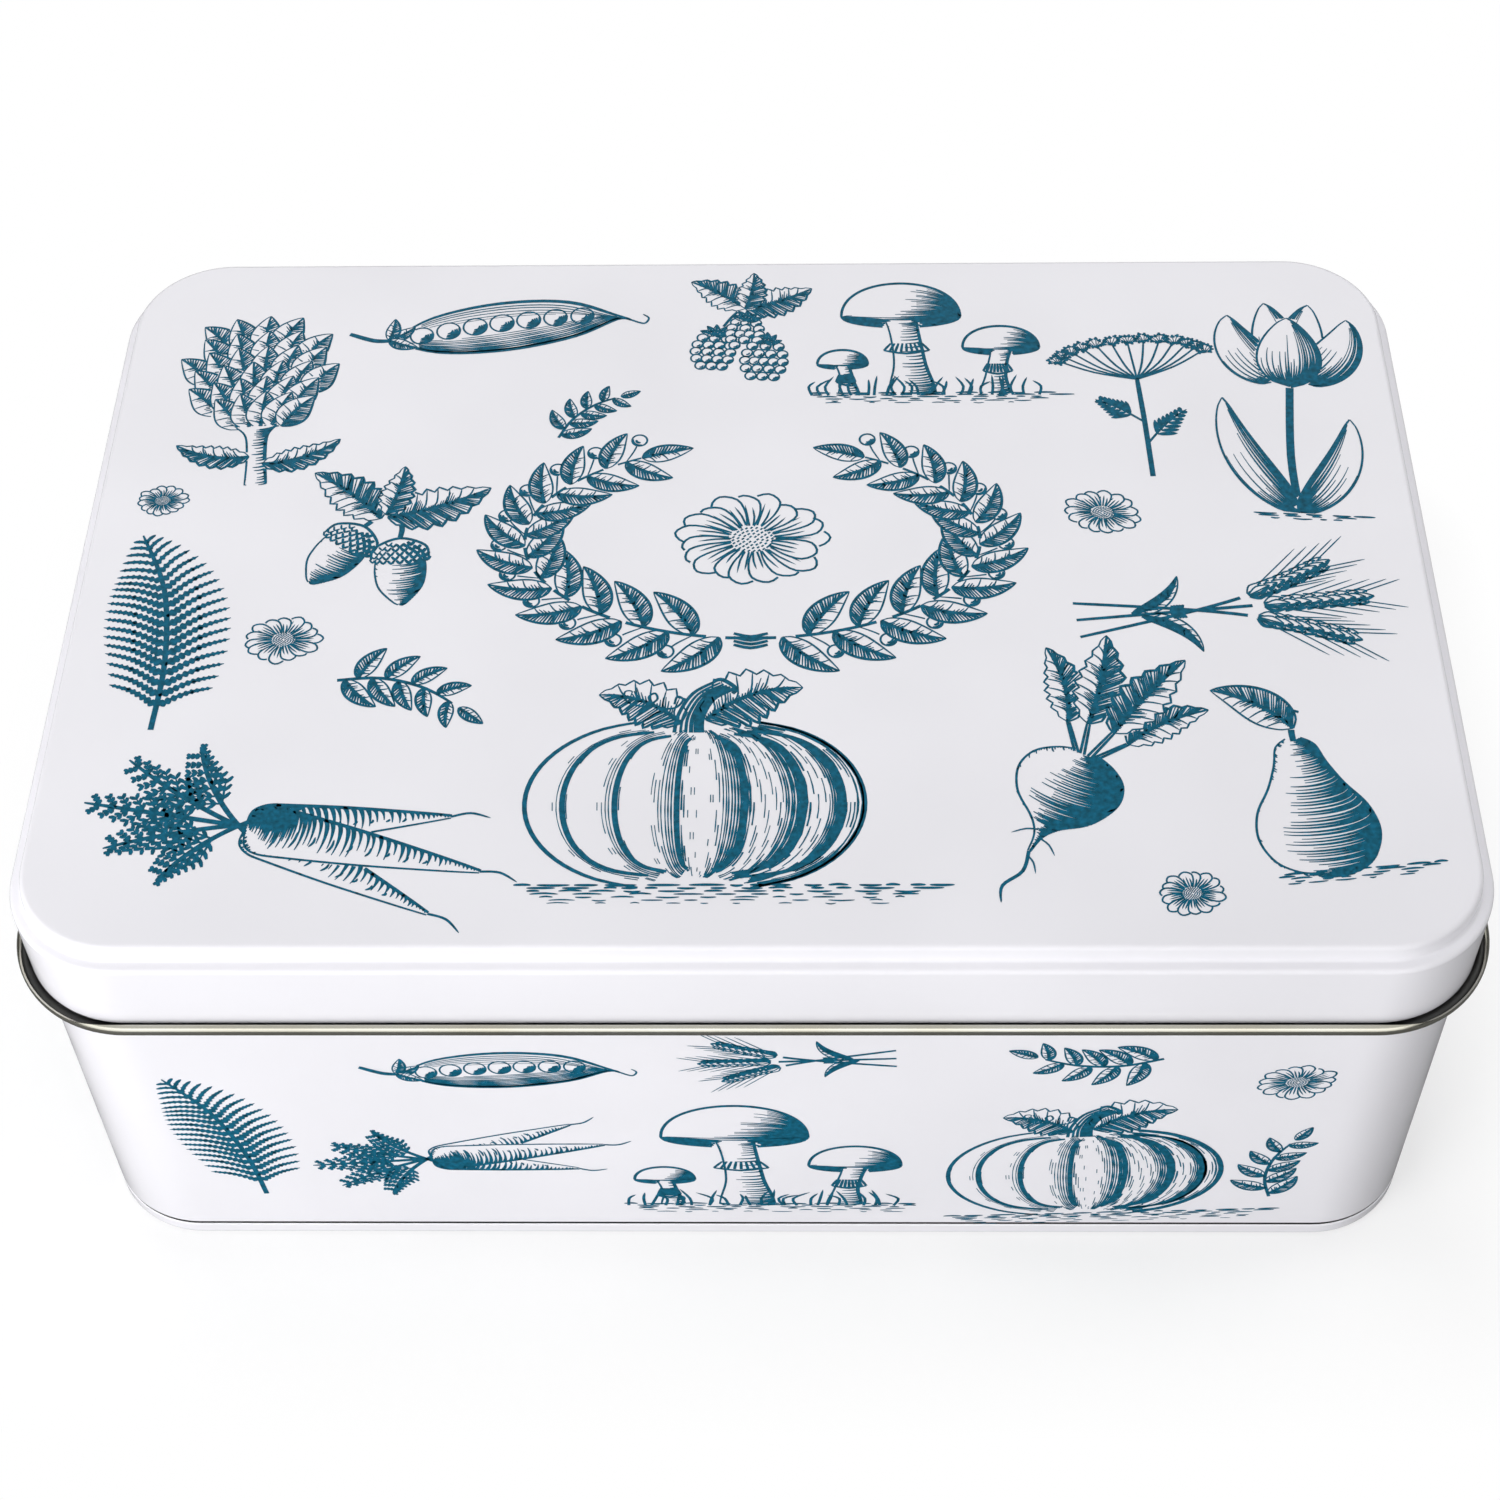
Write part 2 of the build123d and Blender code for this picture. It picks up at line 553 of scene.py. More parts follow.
def turned_by(x, y, angle):
    c, s = cos(angle), sin(angle)
    return x * c - y * s, x * s + y * c


def runs(line, wanted):
    """The stretches of a line where every point is wanted, if they have two points or more."""
    stretches = [list(points) for kept, points in groupby(line, wanted) if kept]
    return [points for points in stretches if len(points) > 1]


# The print being drawn: its strokes, and the frames of the motif under way and of its forms,
# each (x, y, turn, size, the motif's first stroke, flip)
strokes, frames = [], []


def begin(x, y, angle, size):
    """Starts a motif at a place of its own. A size below 0 mirrors it."""
    frames[:] = [(x, y, radians(angle), abs(size), len(strokes), copysign(1, size))]


def push(x, y, angle):
    """Places one form of a motif within it, until frames.pop()."""
    _, _, turn, size, first, flip = frames[-1]
    frames.append((*where(x, y), turn + angle * flip, size, first, flip))


def where(x, y):
    """Where a point of the motif lies on the sheet."""
    x0, y0, turn, size, _, flip = frames[-1]
    x, y = turned_by(x * flip * size, y * size, turn)
    return x0 + x, y0 + y


def put(points):
    weight = press * frames[-1][3] ** 0.5
    strokes.append([(*where(x, y), width * weight) for x, y, width in points])


def hide(outline):
    """Rubs out what the motif has inside an outline, for a form that stands in front of it."""
    edge = [where(x, y) for x, y in outline]
    sides = list(zip(edge, edge[1:] + edge[:1]))
    xs, ys = zip(*edge)
    left, right, low, high = min(xs), max(xs), min(ys), max(ys)

    def shows(point):
        x, y, _ = point
        out = True
        if left < x < right and low < y < high:
            for (ax, ay), (bx, by) in sides:
                if (ay > y) != (by > y) and x < ax + (y - ay) * (bx - ax) / (by - ay):
                    out = not out
        return out

    first = frames[-1][4]
    strokes[first:] = [kept for line in strokes[first:] for kept in runs(line, shows)]


def stroke(points, width, start=0.3, end=0.15, steps=5):
    """A line through points that swells to its width and tapers at its ends."""
    line = smooth(points, steps)
    drawn = []
    for i, (x, y) in enumerate(line):
        t = i / (len(line) - 1)
        least = start if t < 0.5 else end
        drawn.append((x, y, width * (least + (1 - least) * sin(pi * t) ** 0.6)))
    put(drawn)


def engrave(surface, shade, lines, thick, steps):
    """Lines across surface(u, v), as wide as shade(u, v) says and broken where it is light."""
    faintest = 0.08
    shares = [step / steps for step in range(steps + 1)]
    for line in range(lines):
        v = (line + 0.5 + vary(-0.15, 0.15)) / lines
        points = [(*surface(u, v), thick * shade(u, v)) for u in shares]
        for run in runs(points, lambda point: point[2] > faintest):
            put(run)


def ground(left, right, y, depth, rows):
    """The engraver's ground: short level dashes, longest and darkest close under the form."""
    for row in range(rows):
        level = y - depth * row / rows
        x = left + vary(0, 3) + row * 0.8
        while x < right - row * 0.8:
            long = vary(1.5, 5) * (1 - 0.4 * row / rows)
            middle = (x + long / 2, level + vary(-0.15, 0.15))
            stroke([(x, level), middle, (x + long, level)], 0.32 - 0.03 * row)
            x += long + vary(0.4, 1.8) * (1 + 0.4 * row)


def blade(base, angle, length, width, bend, fullness, tip=0, teeth=0):
    """A bent spine from base along angle, with the left and the right margin of its blade."""
    spine, left, right = [], [], []
    count = 16
    for i in range(count + 1):
        way = angle + bend * (i / count - 0.5)
        half = tip
        if 0 < i < count:
            half = width / 2 * sin(pi * (i / count) ** 0.75) ** fullness * (1 - teeth * (-1) ** i)
        spine.append(base)
        left.append(away(*base, way + quarter, half))
        right.append(away(*base, way + quarter, -half))
        base = away(*base, way, length / count)
    return spine, left, right


def leaf(base, angle, length, width, bend=0.4, dark=1, teeth=0, fine=0.5):
    """A leaf from base along angle: margins, midrib, veins and shade, heavier on one side."""
    spine, left, right = blade(base, angle, length, width, bend, 0.85, 0, teeth * 0.13)
    weight = 0.2 + 0.006 * length
    veins = max(3, int(length / 2.4))
    hide(left + right[::-1])
    for side, edge in ((1, left), (-1, right)):
        heavy = side == -dark
        stroke(edge, weight * (1.35 if heavy else 0.9), 0.5, 0.4, 2)
        for i in range(veins):
            v = 0.08 + 0.74 * i / veins
            root, tip = along(spine, v), along(edge, v + 0.15)
            middle = between(along(spine, v + 0.09), between(root, tip, 0.5), 0.5)
            stroke([root, middle, tip], weight * 0.75, 0.8, 0.25, 3)

        def shade(u, v):
            if heavy:
                return (0.55 + 0.45 * abs(sin(v * veins * 3.2))) * (1 - 0.35 * u)
            return 0.75 - 1.7 * u * (0.8 + 0.4 * sin(v * 17))

        def surface(u, v):
            return between(along(spine, v * 0.86), along(edge, v * 0.86 + 0.13), u)

        engrave(surface, shade, int(length / fine), fine * 0.62, 6)
    stroke([along(spine, t / 8) for t in range(9)], weight * 1.7, 1.0, 0.2, 2)


def round_form(profile, pitch, thick, sag, dark, outline, lean=0.0):
    """A form round an upright axis, from its (height, radius) points, lit from the left."""
    shape = smooth(profile, 6)
    tall = sum(dist(a, b) for a, b in zip(shape, shape[1:]))

    def off(h):
        return lean * (h - profile[0][0]) ** 2

    def surface(u, v):
        h, r = along(shape, v)
        a = (u - 0.5) * pi
        return off(h) + r * sin(a), h - sag * r * cos(a)

    def shade(u, v):
        s = 2 * u - 1 + 0.16 * sin(v * 997) - 0.12 * cos(v * 6.3)
        right_side = clamp((s + 0.42) / 1.1) ** 1.15 * (1 - 0.4 * clamp((2 * u - 1.82) / 0.18))
        left_edge = 0.5 * clamp((-s - 0.72) / 0.28)
        return dark * right_side + left_edge

    hide([(off(h) - r, h) for h, r in shape] + [(off(h) + r, h) for h, r in shape[::-1]])
    engrave(surface, shade, max(3, int(tall / pitch)), thick, 20)
    for side, weight in ((-1, 0.8), (1, 1.35)):
        line = [(off(h) + side * r, h) for h, r in shape[::2]]
        stroke(line, outline * weight, 0.6, 0.6, 2)


def ball(x, y, radius, dark=1.0, pitch=0.5):
    """A small round berry or pea, with a light spot."""
    rim = [away(x, y, a * pi / 6, radius) for a in range(13)]
    hide(rim)
    stroke(rim, 0.24, 0.8, 0.8, 2)

    def surface(u, v):
        return away(x, y, 2.9 * u - 2.3, radius * (0.25 + 0.75 * v))

    lines = max(2, int(radius / pitch))
    engrave(surface, lambda u, v: dark * sin(pi * u) ** 0.6, lines, 0.34, 8)


# The motifs, 20 to 66 mm across where their size is 1


def sprig(path, leaves, length, width, grow=0.5, fruit=False, spread=0.9):
    """A stem with leaves to both sides that get smaller towards its tip."""
    stem = smooth(path, 6)
    stroke(path, 0.42, 1.0, 0.3)
    for i in range(leaves):
        t = 0.08 + 0.86 * i / leaves
        x, y = root = along(stem, t)
        way = heading(root, along(stem, t + 0.04))
        side = 1 if i % 2 else -1
        scale = 1 - grow * t
        leaf(root, way + side * spread, length * scale, width * scale, -side * 0.5, -side)
        if fruit and i % 2:
            bx, by = turned_by(length * 0.42, -side * length * 0.2, way - side * 0.4)
            stroke([root, (x + bx * 0.6, y + by * 0.5), (x + bx, y + by)], 0.2)
            ball(x + bx, y + by, 1.15)
    root, scale = along(stem, 0.93), 1 - grow * 0.9
    leaf(root, heading(root, stem[-1]), length * scale, width * scale, 0.1)


def small_sprig():
    sprig([(-10, -2), (-4, 0.6), (3, 1), (10, -1)], 9, 7.5, 3.1, 0.4)


def daisy(radius=9, petals=15):
    """An open flower, seen a little from the side."""
    squash = 0.8
    margin = ((0.28, 0.3), (0.55, 0.85), (0.85, 0.95), (1, 0))
    for i in range(petals):
        a = tau * i / petals + vary(-0.06, 0.06)
        reach = radius * vary(0.9, 1.06)

        def at(u, v):
            x, y = turned_by(reach * u, radius * 0.2 * v, a)
            return x, y * squash

        edge = [at(u, v) for u, v in margin] + [at(u, -v) for u, v in margin[2::-1]]
        hide(edge)
        stroke(edge, 0.28, 0.6, 0.6, 3)
        for v in (-0.45, 0, 0.45):
            tip = at(0.68 + vary(0, 0.12), v)
            stroke([at(0.3, v * 0.6), at(0.5, v), tip], 0.24, 1, 0.1, 2)
    for ring in range(1, 5):
        for i in range(ring * 6):
            x, y = away(0, 0, tau * i / (ring * 6) + ring, radius * 0.065 * ring, squash)
            stroke([(x, y), (x + 0.2, y - 0.2)], 0.42, 0.8, 0.8, 1)


def pumpkin():
    wide, tall = 22.0, 14.5
    ribs = (-1.0, -0.82, -0.5, -0.12, 0.3, 0.66, 0.9, 1.0)

    def skin(s, a):
        near = min(abs(s - rib) for rib in ribs[1:-1])
        bulge = 1 + 0.05 * clamp(near / 0.18) * cos(a) ** 2
        pinch = 1 - 0.12 * clamp(1 - near / 0.1) * sin(a) ** 4
        lift = 1.68 * cos(s * 1.5) * sin(a)
        return wide * s * cos(a) ** 0.72 * bulge, tall * sin(a) * pinch - lift

    for rib in ribs:
        line = [skin(rib, 2.7 * i / 10 - 1.35) for i in range(11)]
        stroke(line, 0.62 if abs(rib) < 1 else 0.5, 0.5, 0.5, 3)
    for left, right in zip(ribs, ribs[1:]):

        def surface(u, v):
            return skin(left + (right - left) * v, 2.6 * u - 1.3)

        def shade(u, v):
            s = left + (right - left) * v
            dark = clamp((v - 0.4) / 0.6) ** 1.1 + 0.75 * clamp(1 - v / 0.16)
            light = 0.5 * clamp(1 - v) * (sin(u * 23 + v * 31) > -0.2)
            side = 0.4 + 0.75 * clamp((s + 0.5) / 1.4) + 0.35 * clamp(0.3 - u)
            return min(1.12, (dark + light) * side * (0.82 + 0.18 * sin(u * 55 + v * 9)))

        engrave(surface, shade, max(4, int((right - left) * wide / 0.42)), 0.42, 26)
    leaf((1, 14.2), 0.38, 15, 9, -0.9, teeth=1)
    leaf((-2.4, 13.6), 2.75, 13, 7.5, 0.9, -1, teeth=1)
    stalk = [(-1.5, 12), (-1.2, 15), (0.5, 18.5), (3.5, 20.5)]
    fibres = ((-1.5, 0.4), (-0.8, 0.3), (-0.2, 0.35), (0.4, 0.45), (1.0, 0.55), (1.6, 0.6))
    for off, weight in fibres:
        line = [(x + off * (1.2 - 0.14 * i), y - 0.15 * off * i) for i, (x, y) in enumerate(stalk)]
        stroke(line, weight, 1, 0.7)
    stroke([(2.0, 21.2), (3.2, 21.4), (5.0, 19.9), (4.6, 18.9)], 0.5, 0.8, 0.8)
    turns = [t * 1.35 for t in range(13)]
    tendril = [(-2 - t / 1.8 - 1.4 * cos(t), 17 + t / 11.25 + 1.3 * sin(t)) for t in turns]
    stroke(tendril, 0.26, 1, 0.3)
    ground(-25, 31, -13.6, 3.4, 7)


def pear():
    foot = [(-13.5, 0.6), (-13.3, 4), (-11, 7.6), (-6.5, 9.4), (-1.5, 8.6)]
    round_form([*foot, (3, 6), (7.5, 4.1), (11, 3.1), (12.6, 1.2)], 0.5, 0.42, 0.32, 1.05, 0.36)
    stroke([(0, 12), (0.3, 15), (1.8, 18.2)], 0.75, 0.9, 0.9)
    leaf((0.6, 14.6), 2.5, 15, 7, 0.7)
    ground(-10, 17, -13.4, 2.2, 5)


def carrots():
    for angle, long, wide in ((-0.3, 33, 4.1), (0.27, 31, 3.9), (-0.02, 37, 4.5)):
        push(0, 0, angle)
        root = [(-long, 0.25), (-long * 0.82, wide * 0.3), (-long * 0.5, wide * 0.68)]
        head = [(-long * 0.2, wide * 0.95), (-3, wide), (-0.8, wide * 0.75), (0, 0.8)]
        round_form(root + head, 0.62, 0.46, 0.3, 1.1, 0.34)
        for i in range(9):
            h = -long * (0.12 + 0.08 * i)
            r = wide * (1 - 0.095 * i) * vary(0.3, 0.8)
            stroke([(-r * 0.9, h), (-r * 0.3, h - 0.5), (r * 0.3, h - 0.45)], 0.3, 0.2, 0.2, 3)
        stroke([(0, -long), (0.5, -long - 3), (-0.6, -long - 6)], 0.3, 1, 0.2)
        frames.pop()
    for i, (angle, long) in enumerate(((2.2, 17), (1.86, 22), (1.6, 26), (1.32, 24), (1.0, 19))):
        path = [(0.5 * (2 - i), 0)]
        for k in range(1, 7):
            path.append(away(*path[-1], angle + (angle - 1.6) * 0.14 * k, long / 6))
        stroke(path, 0.6, 1, 0.3)
        line = smooth(path, 4)
        for k in range(7):
            x, y = along(line, 0.36 + 0.62 * k / 7)
            size = 4.6 - 0.42 * k
            for way in (angle + 0.8, angle - 0.8):
                for m in range(3):
                    lobe = away(x, y, way, size * (m + 0.6) / 3)
                    for turn in (0.65, -0.65):
                        tip = away(*lobe, way + turn, size * 0.36)
                        stroke([lobe, tip], 0.5, 0.5, 0.6, 2)
                stroke([(x, y), away(x, y, way, size)], 0.26, 1, 0.4, 2)


def radish():
    root = [(-15, 0.2), (-11.5, 0.7), (-8.6, 2.6), (-5, 6.6), (-0.5, 8.6)]
    round_form([*root, (3.5, 7.8), (6, 5), (7.2, 2)], 0.48, 0.44, 0.34, 1.15, 0.36)
    stroke([(0, -15), (0.8, -19), (-0.8, -23), (0.4, -26)], 0.42, 1, 0.2)
    for x, y, ex, ey in ((0.6, -12, 4, -14), (-0.5, -10.5, -4, -13), (0.4, -16, 2.8, -18.5)):
        stroke([(x, y), ((x + ex) / 2, (y + ey) / 2 + 0.5), (ex, ey)], 0.22, 1, 0.2, 3)
    for x, angle, long in ((-1.6, 2.25, 21), (1.6, 0.95, 20), (-0.6, 1.85, 25), (0.7, 1.35, 26)):
        foot = away(x, 7, angle, 6)
        for side in (-0.35, 0.35):
            stroke([(x + side, 6.6), (foot[0] + side * 0.7, foot[1])], 0.34, 1, 0.8, 3)
        dark = 1 if x < 0 else -1
        leaf(foot, angle, long * 0.78, long * 0.3, (angle - 1.57) * 0.9, dark, teeth=1)


def mushroom(x, tall, wide, lean):
    """A cap with gills under it on a ringed stem."""
    cap_x, brim_y = x + lean, tall + wide * 0.1

    def top(u, v):
        s = 2 * u - 1
        rise = 0.92 * sqrt(max(0, 1 - s * s)) * v + 0.1 * s * s
        return cap_x + wide * s, tall + wide * rise

    def shade(u, v):
        s = 2 * u - 1 - 0.35 * v + 0.12 * sin(v * 997)
        right_side = clamp((s + 0.3) / 1.1) ** 1.2 * (1.15 - 0.4 * v)
        return right_side + 0.5 * clamp((0.16 - v) / 0.16) + 0.35 * clamp(-s - 0.85)

    engrave(top, shade, int(wide / 0.5), 0.42, 22)
    crown = [top(0.5 + 0.5 * sin(a * pi / 20), 1) for a in range(-10, 11)]
    stroke(crown, 0.42, 0.8, 0.8, 2)
    brim = [away(cap_x, brim_y, a * pi / 10, wide, -0.26) for a in range(11)]
    stroke(brim, 0.4, 0.7, 0.7, 2)
    gills = int(wide * 3.2)
    for i in range(gills):
        a = pi * (i + 0.5) / gills
        ex, ey = cap_x + wide * 0.98 * cos(a), brim_y - wide * 0.25 * sin(a)
        sx, sy = cap_x + wide * 0.24 * cos(a), tall + wide * (0.02 - 0.04 * sin(a))
        stroke([(sx, sy), ((sx + ex) / 2, (sy + ey) / 2 + 0.1), (ex, ey)], 0.3, 0.7, 0.9, 2)
    push(x, 0, 0)
    stem = wide * 0.26
    foot = [(0, stem * 1.5), (tall * 0.14, stem * 1.35), (tall * 0.4, stem)]
    neck = [(tall * 0.8, stem * 0.92), (tall - 0.1, stem)]
    round_form(foot + neck, 0.62, 0.36, 0.2, 0.9, 0.34, lean / tall**2)
    frames.pop()
    ring = tall * 0.68
    ring_x, hem, wing = x + lean * (ring / tall) ** 2, ring - 1.9, stem * 1.45
    for k in range(9):
        s = k / 4 - 1
        tip = (ring_x + wing * s, hem - 0.4 * (1 - s * s))
        stroke([(ring_x + stem * s, ring), tip], 0.36, 0.7, 0.9, 2)
    edge = [(ring_x - wing, hem), (ring_x, hem - 0.8), (ring_x + wing, hem)]
    stroke(edge, 0.36, 0.7, 0.7, 3)


def mushrooms():
    mushroom(0, 19, 11, -1.6)
    mushroom(15, 11, 7, 1.5)
    mushroom(-11.5, 7, 4.6, -1)
    ground(-20, 26, 0, 3.0, 6)
    for i in range(26):
        x = -18 + 42 * i / 26 + vary(-1, 1)
        blade_of_grass = [(x, -0.6), (x + vary(-0.8, 0.8), 1.6)]
        tip = (x + vary(-2, 2), vary(2.5, 4.6))
        stroke([*blade_of_grass, tip], 0.36, 1, 0.1, 3)


def petal(base, angle, length, width, bend=0.0, dark=1):
    """A petal: its margins, and long lines that gather at its foot and on its shaded side."""
    _, left, right = blade(base, angle, length, width, bend, 0.7, 0.02)
    hide(right + left[::-1])

    def shade(u, v):
        s = (2 * v - 1) * dark
        foot = clamp(1 - u / (0.5 + 0.25 * sin(v * 61)))
        side = clamp((-s - 0.1) / 0.9) * (0.95 - 0.3 * u)
        fold = 0.7 * clamp(1 - abs(s) / 0.07) * clamp(1.1 - u)
        return (foot * 0.8 + side + fold) * clamp((1 - u) * 12)

    def surface(u, v):
        return between(along(right, u), along(left, u), v)

    engrave(surface, shade, max(6, int(width / 0.5)), 0.4, 20)
    for edge, heavy in ((right, dark > 0), (left, dark < 0)):
        stroke(edge, 0.46 if heavy else 0.3, 0.7, 0.5, 2)


def tulip():
    stroke([(0.5, -28), (-0.6, -14), (0, 6)], 1.0, 1, 1)
    for x, y, *shape in (
        (0.4, -27.5, 1.98, 31, 7, -0.75, 1), (0.4, -27.5, 1.2, 26, 7, 0.85, -1),
        (-1.5, 8, 1.72, 17.5, 8, 0.1, 1), (1.5, 8, 1.42, 17.5, 8, -0.1, -1),
        (-2.2, 5, 2.02, 19.5, 9, -0.95, 1), (2.2, 5, 1.12, 19.5, 9, 0.95, 1),
        (0, 3.6, 1.57, 18, 11.5, 0.0, 1),
    ):
        petal((x, y), *shape)
    ground(-9, 10, -28, 1.6, 3)


def wheat():
    leaf((0.5, -12), 0.75, 17, 3.4, -1.3)
    leaf((-0.5, -14), 2.3, 16, 3.2, 1.2, -1)
    for lean, long in ((-0.3, 28), (0.3, 30), (0.0, 35)):
        over = lean * long
        path = [(-lean * 16, -26), (0, 0), (over * 0.5, long * 0.55), (over * 1.15, long)]
        stroke(path, 0.55, 0.8, 0.8)
        line = smooth(path, 8)
        way = quarter - lean * 1.5
        for k in range(8, -1, -1):
            x, y = along(line, 0.58 + 0.4 * k / 9)
            for side in (1, -1, 0):
                a = way + side * 0.36
                root = (x - side * 0.5 * sin(way), y + side * 0.5 * cos(way))
                tip = away(x, y, a, 4.6 + (side == 0))
                middle = between(root, tip, 0.5)

                outs = (1.15, -1.15, -0.6325, -0.115)
                ribs = [[root, away(*middle, a + quarter, out), tip] for out in outs]
                left, right = smooth(ribs[0], 4), smooth(ribs[1], 4)
                if side and k % 2 == 0:
                    stroke([tip, away(*tip, way + side * 0.3, 13 - 0.6 * k)], 0.2, 1, 0.3)
                hide(left + right[::-1])
                stroke(left[::2], 0.26, 0.7, 0.7, 2)
                stroke(right[::2], 0.46, 0.7, 0.7, 2)
                for rib in ribs[2:]:
                    stroke(rib, 0.24, 0.6, 0.3, 2)
    for k in range(5):
        y = 0.6 * k - 5
        stroke([(-1.9, y), (0, y - 0.5), (1.9, y + 0.1)], 0.42, 0.8, 0.8, 3)


def fern():
    """A fern frond: solid leaflets, each with its lobes, and a thread of white between them."""
    long, pairs = 46, 19
    path = [(0, -long / 2), (1.6, -long / 6), (0.6, long / 5), (-4, long / 2)]
    line = smooth(path, 8)
    stroke(path, 0.7, 1, 0.3)
    for i in range(pairs):
        t = 0.14 + 0.84 * i / pairs
        root = along(line, t)
        way = heading(root, along(line, t + 0.03))
        size = 12.5 * sin(pi * (0.2 + 0.78 * t)) ** 1.1
        for side in (1, -1):
            a = way + side * 1.12
            rib = [root, away(*root, a - side * 0.12, size * 0.55), away(*root, a, size)]
            stroke(rib, 0.5, 0.9, 0.2, 4)
            lobes = max(2, int(size / 1.05))
            for k in range(lobes):
                u = 0.1 + 0.85 * k / lobes
                foot = along(smooth(rib, 4), u)
                r = 0.25 + size * 0.07 * (1.1 - u)
                for b in (a + 0.75, a - 0.75):
                    lobe = [foot, away(*foot, b, r / 2), away(*foot, b, r)]
                    stroke(lobe, 0.62 * (1.15 - 0.6 * u), 0.7, 0.6, 2)


def peas():
    upper = [(-20, 0), (-12, 4.6), (0, 6.2), (12, 4.4), (20, -0.6), (22.5, -2.4)]
    lower = [(-20, 0), (-12, -4.4), (0, -5.9), (12, -4.6), (20, -1.6), (22.5, -2.4)]
    inner = [(-19, 0.4), (-11, 1.7), (0, 2.1), (11, 1.2), (20, -1)]
    for line, width in ((upper, 0.42), (lower, 0.6), (inner, 0.34)):
        stroke(line, width, 0.6, 0.4)
    for index in range(7):
        x = -14.5 + 4.75 * index
        ball(x, 1.0 - 0.0035 * x * x, 2.15 - 0.035 * abs(index - 3), 1.0, 0.45)
    top, low, middle = smooth(upper, 6), smooth(lower, 6), smooth(inner, 6)

    def shell(u, v):
        return between(along(middle, u), along(low, u), 0.45 + 0.55 * v)

    def shell_shade(u, v):
        return sin(pi * u) ** 0.5 * (0.35 + 0.8 * v) * (0.8 + 0.2 * sin(40 * u))

    def back(u, v):
        return between(along(top, u), along(middle, u), v)

    engrave(shell, shell_shade, 9, 0.36, 30)
    engrave(back, lambda u, v: sin(pi * u) ** 0.5 * (0.75 - 0.5 * v), 6, 0.3, 26)
    stroke([(-20, 0), (-23, 0.6), (-27, 3)], 0.7, 0.7, 0.8)
    for angle in (0.5, 1.3, -0.5):
        leaf((-20.3, 0.2), angle, 5.5, 2.4, fine=0.45)
    stroke([(22.5, -2.4), (24.5, -3.6), (25.5, -2.4), (24.6, -1.2)], 0.28, 1, 0.3)


def acorns():
    nut = [(-10.5, 0.3), (-9.6, 1.4), (-6.5, 3.6), (-3, 4.3), (0, 4.2)]
    for x, y, angle in ((-4, -3, -0.35), (6, -4.5, 0.3)):
        push(x, y, angle)
        round_form(nut, 0.46, 0.4, 0.3, 1.1, 0.32)
        for row in range(5):
            h, r = 0.2 + row * 0.95, 4.9 * cos(row * 0.28)
            for k in range(9 - row):
                s = -1 + 2 * (k + 0.5) / (9 - row)
                cx, cy = r * sin(s * 1.4), h - 0.8 * cos(s * 1.4)
                scale = [(cx - 0.6, cy + 0.35), (cx, cy - 0.4), (cx + 0.6, cy + 0.35)]
                stroke(scale, 0.4 + 0.15 * s, 0.6, 0.6, 3)
        stroke([(-5, 0.2), (-4.3, 3), (0, 4.9), (4.3, 3), (5, 0.2)], 0.4, 0.6, 0.6)
        stroke([(0, 4.8), (0.4, 7), (0.2, 9)], 0.7, 0.8, 1)
        frames.pop()
    for x, y, *oak in ((0, 4, 2.65, 17, 8), (1, 4.5, 0.6, 19, 8.5), (0.6, 5, 1.6, 12, 5.5)):
        leaf((x, y), *oak, 0.35, teeth=1)


def berries():
    for x, y, size in ((-5.5, -4, 4.8), (5, -6, 5.2), (0.5, 1.6, 4.0)):
        stroke([(0, 10), (x * 0.5, 6), (x, y + size * 0.8)], 0.42, 1, 0.8)
        for row in range(5):
            h = size * (0.8 - 0.42 * row)
            half = size * sqrt(max(0.05, 1 - (h / size / 1.12) ** 2)) * 0.86
            count = max(1, round(half * 2 / 1.9))
            for k in range(count):
                s = 0 if count == 1 else -1 + 2 * k / (count - 1)
                ball(x + half * 0.85 * s, y + h, 1.12, 0.8 + 0.5 * clamp(s + 0.3), 0.38)
        for k in range(5):
            a = pi * (0.12 + 0.19 * k)
            leaf((x, y + size * 0.95), a, 3.4, 1.3, 0.3, fine=0.45)
    for angle, long in ((2.6, 14), (0.5, 15), (1.5, 11)):
        leaf((0, 9), angle, long, long * 0.52, teeth=1)


def umbel():
    stroke([(2, -26), (0.8, -10), (0, 4)], 0.75, 1, 0.8)
    for i in range(13):
        a = pi * (0.08 + 0.84 * i / 12)
        tip_x, tip_y = 17 * cos(a), 10 + 6.5 * sin(a)
        ray = [(0, 4), (tip_x * 0.55, 4 + (tip_y - 4) * 0.42), (tip_x, tip_y)]
        stroke(ray, 0.32, 1, 0.7, 4)
        for k in range(11):
            b = tau * k / 11 + i
            floret = away(tip_x, tip_y + 0.6, b, 2.3 * vary(0.55, 1.0), 0.7)
            stroke([(tip_x, tip_y - 0.9), floret], 0.15, 1, 0.8, 1)
            for m in range(3):
                stroke([floret, away(*floret, b + m * 2.1, 0.55)], 0.5, 0.9, 0.6, 1)
    x = 1.2
    for y, angle, long in ((-16, 2.4, 14), (-9, 0.7, 12)):
        rib = [(x, y), away(x, y, angle, long / 2, 1.2), away(x, y, angle, long)]
        stroke(rib, 0.36, 1, 0.3)
        for k in range(7):
            t = 0.25 + 0.1 * k
            root = away(x, y, angle, long * t, 1.08)
            for side in (0.8, -0.8):
                tip = away(*root, angle + side, 4.6 * (1.2 - t))
                stroke([root, tip], 0.7, 0.3, 0.2, 4)


